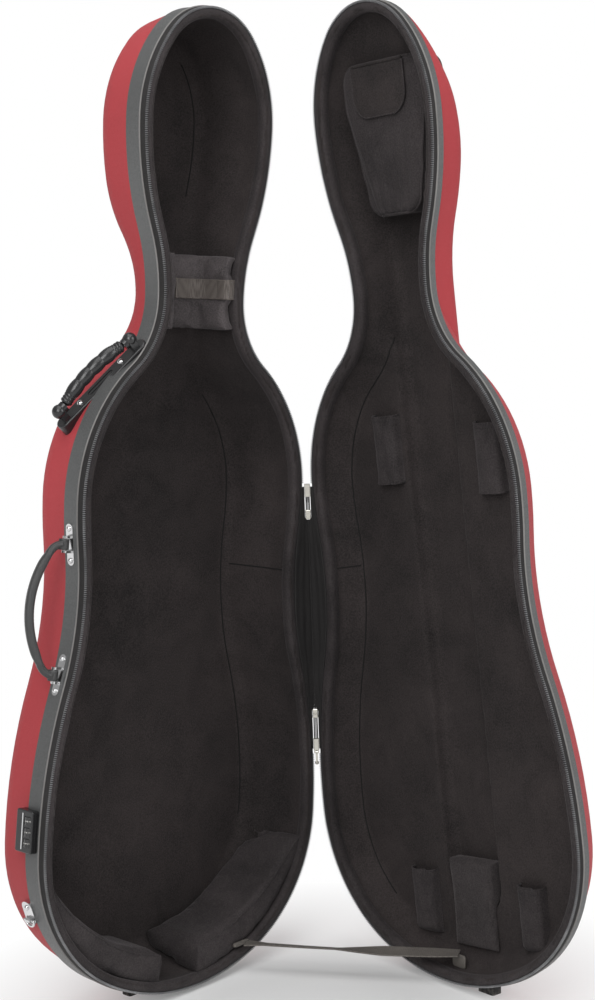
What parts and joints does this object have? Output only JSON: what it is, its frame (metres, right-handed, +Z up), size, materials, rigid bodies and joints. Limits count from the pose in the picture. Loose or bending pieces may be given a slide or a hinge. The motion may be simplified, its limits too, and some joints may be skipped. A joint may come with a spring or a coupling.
{
  "type": "cello case",
  "caption": "Hard cello case standing open: red body and lid shells, black padded lining, zip rim, fabric hinge, two handles, combination lock, strap ring and inner fittings.",
  "frame": {"origin": "middle of the bounding box's base, on the floor", "axes": "+Z up along the hinge line; the body's closing plane faces -Y, its free side points to -X; the lid stands open towards -Y"},
  "size_m": [0.5891, 0.6375, 1.3329],
  "materials": {
    "woven_cover": "red woven fabric over the hard shell",
    "velour": "black velour over foam",
    "vinyl": "black leather-grain vinyl",
    "piping": "light grey piping",
    "zip_tape": "black woven tape",
    "zip_coil": "grey nylon coil",
    "moulded": "black moulded plastic",
    "leather": "black stitched leather",
    "chrome": "polished",
    "webbing": "grey-olive ribbed webbing",
    "rubber": "matt",
    "foam": "black velour over firm foam"
  },
  "bodies": {
    "case_body": {"body_shell": "woven_cover", "body_lining": "velour", "body_band": "vinyl", "body_piping": "piping", "body_zip_tape": "zip_tape", "body_zip_teeth": "zip_coil", "gusset_body": "zip_tape", "hinge_cord": "zip_tape", "zip_end_low": "zip_coil", "zip_end_high": "zip_coil", "zip_slider_low": "chrome", "zip_slider_high": "chrome", "neck_cradle": "foam", "neck_strap": "webbing", "neck_strap_end": "webbing", "bolster_free_side": "foam", "bolster_hinge_side": "foam", "shoulder_base": "moulded", "shoulder_pin_low": "chrome", "shoulder_pin_high": "chrome", "shoulder_rivet_low": "chrome", "shoulder_rivet_high": "chrome", "side_bracket_low": "chrome", "side_bracket_high": "chrome", "lock_housing": "moulded", "lock_spindle": "chrome", "lock_trim": "chrome", "ring_plate": "chrome", "body_foot_hinge_side": "rubber", "body_foot_free_side": "rubber", "stay_tab_body": "webbing", "stay_strap": "webbing"},
    "lid": {"lid_shell": "woven_cover", "lid_lining": "velour", "lid_band": "vinyl", "lid_piping": "piping", "lid_zip_tape": "zip_tape", "lid_zip_teeth": "zip_coil", "gusset_lid": "zip_tape", "foam_block": "foam", "bow_loop_hinge_side": "velour", "bow_loop_free_side": "velour", "bow_pocket_hinge_side": "velour", "bow_pocket_free_side": "velour", "accessory_pouch": "velour", "lid_foot_hinge_side": "rubber", "lid_foot_free_side": "rubber", "stay_tab_lid": "webbing"},
    "flap": {"pouch_flap": "velour"},
    "shoulder_handle": {"shoulder_grip": "moulded"},
    "side_handle": {"side_grip": "leather"},
    "dial_low": {"lock_dial_low": "moulded"},
    "dial_middle": {"lock_dial_middle": "moulded"},
    "dial_high": {"lock_dial_high": "moulded"},
    "ring": {"strap_ring": "chrome"},
    "pull_low": {"zip_pull_low": "chrome"},
    "pull_high": {"zip_pull_high": "chrome"}
  },
  "joints": [
    {"name": "lid_hinge", "type": "hinge", "parent": "case_body", "child": "lid", "pos_m": [0.22295, 0.18882, 0.6], "axis": [0, 0, 1], "range_deg": [-85, 0], "deforming": ["stay_strap"]},
    {"name": "shoulder_handle_pivot", "type": "hinge", "parent": "case_body", "child": "shoulder_handle", "pos_m": [-0.11709, 0.23482, 0.86442], "axis": [0.6899, -0.309, 0.6547], "range_deg": [-60, 50]},
    {"name": "side_handle_pivot", "type": "hinge", "parent": "case_body", "child": "side_handle", "pos_m": [-0.21405, 0.21582, 0.57212], "axis": [0.1806, 0, 0.9836], "range_deg": [-30, 75]},
    {"name": "dial_low_turn", "type": "hinge", "parent": "case_body", "child": "dial_low", "pos_m": [-0.28761, 0.21482, 0.27692], "axis": [0.1548, 0, 0.9879], "continuous": true},
    {"name": "dial_middle_turn", "type": "hinge", "parent": "case_body", "child": "dial_middle", "pos_m": [-0.28537, 0.21482, 0.29125], "axis": [0.1548, 0, 0.9879], "continuous": true},
    {"name": "dial_high_turn", "type": "hinge", "parent": "case_body", "child": "dial_high", "pos_m": [-0.28312, 0.21482, 0.30557], "axis": [0.1548, 0, 0.9879], "continuous": true},
    {"name": "ring_swing", "type": "hinge", "parent": "case_body", "child": "ring", "pos_m": [-0.27793, 0.23582, 0.16415], "axis": [0, 1, 0], "range_deg": [-4, 150]},
    {"name": "pull_low_swing", "type": "hinge", "parent": "case_body", "child": "pull_low", "pos_m": [0.22295, 0.18882, 0.28601], "axis": [0.6756, -0.7373, 0], "range_deg": [0, 60]},
    {"name": "pull_high_swing", "type": "hinge", "parent": "case_body", "child": "pull_high", "pos_m": [0.22707, 0.1926, 0.66829], "axis": [0.6756, -0.7373, 0], "range_deg": [0, 80]},
    {"name": "flap_lift", "type": "hinge", "parent": "lid", "child": "flap", "pos_m": [0.2295, 0.04113, 1.25091], "axis": [-0.0866, -0.9904, 0.1078], "range_deg": [-100, 0]}
  ]
}
